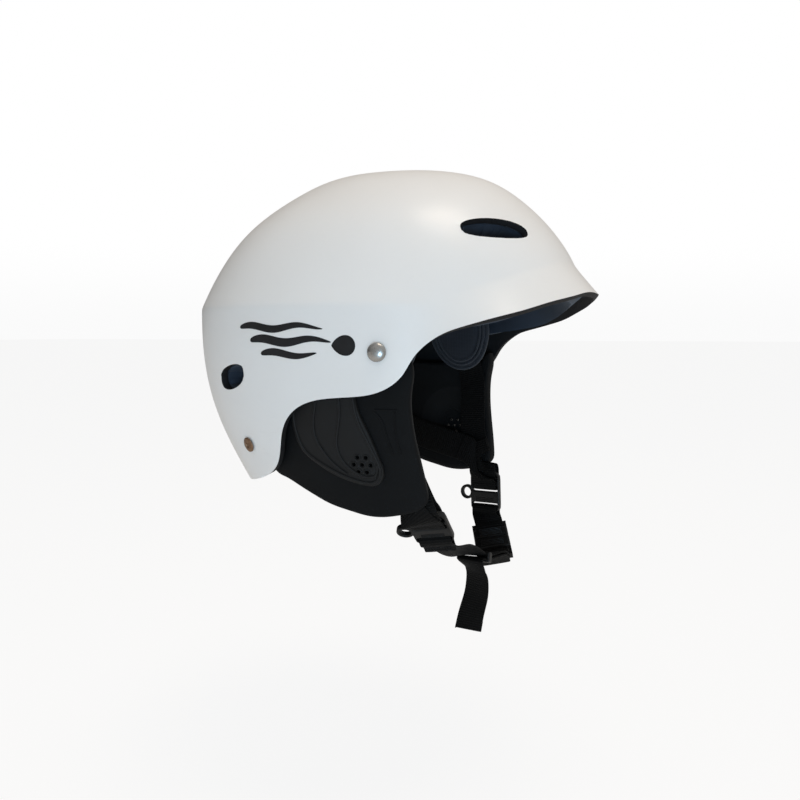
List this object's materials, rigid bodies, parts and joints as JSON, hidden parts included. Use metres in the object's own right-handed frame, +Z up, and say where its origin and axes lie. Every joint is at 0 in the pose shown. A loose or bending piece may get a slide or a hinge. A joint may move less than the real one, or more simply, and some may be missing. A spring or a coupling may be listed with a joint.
{
  "type": "water helmet",
  "caption": "Hard-shell water sports helmet with a foam liner, short curled brim, slotted vents, padded ear flaps and a webbing chin strap that buckles at the side.",
  "frame": {"origin": "middle of the crown pad's flat lower face, where the top of the wearer's head rests", "axes": "+X to the front of the helmet, +Y to the wearer's left, +Z up"},
  "size_m": [0.264, 0.2182, 0.3031],
  "materials": {
    "shell": "satin moulded, off-white",
    "liner": "closed-cell foam, matte black",
    "pad": "soft knit over foam, black",
    "flap": "moulded foam with fabric face, black",
    "cover": "moulded, black",
    "steel": "polished dome head",
    "copper": "dulled, brown",
    "washer": "plain",
    "webbing": "woven webbing, black",
    "plastic": "moulded acetal, black"
  },
  "bodies": {
    "helmet": {"shell": "shell", "foam_liner": "liner", "crown_pad": "pad", "brow_pad": "pad", "nape_pad": "pad", "temple_pad_left": "pad", "temple_pad_right": "pad", "ear_flap_left": "flap", "ear_flap_right": "flap", "ear_cover_left": "cover", "ear_cover_right": "cover", "side_rivet_left": "steel", "side_rivet_right": "steel", "rear_rivet_left": "copper", "rear_rivet_right": "copper", "side_rivet_washer_left": "washer", "side_rivet_washer_right": "washer", "rear_rivet_washer_left": "washer", "rear_rivet_washer_right": "washer", "front_strap_left": "webbing", "front_strap_right": "webbing", "rear_strap_left": "webbing", "rear_strap_right": "webbing"},
    "chin_left": {"strap_divider_left": "plastic", "socket_loop": "webbing", "buckle_socket": "plastic"},
    "chin_right": {"buckle_plug": "plastic", "chin_webbing": "webbing", "webbing_keeper": "plastic", "strap_divider_right": "plastic"},
    "tail": {"strap_tail": "webbing"}
  },
  "joints": [
    {"name": "chin_swing", "type": "hinge", "parent": "helmet", "child": "chin_left", "pos_m": [0.0415, 0, -0.185], "axis": [0, 1, 0], "range_deg": [-20, 17]},
    {"name": "buckle_slide", "type": "slide", "parent": "chin_left", "child": "chin_right", "axis": [0.9383, 0.2919, 0.1853], "range_m": [0, 0.026]},
    {"name": "tail_swing", "type": "hinge", "parent": "chin_right", "child": "tail", "pos_m": [0.04826, 0.00867, -0.23231], "axis": [0.982, -0.1778, 0.0646], "range_deg": [-30, 40]}
  ]
}
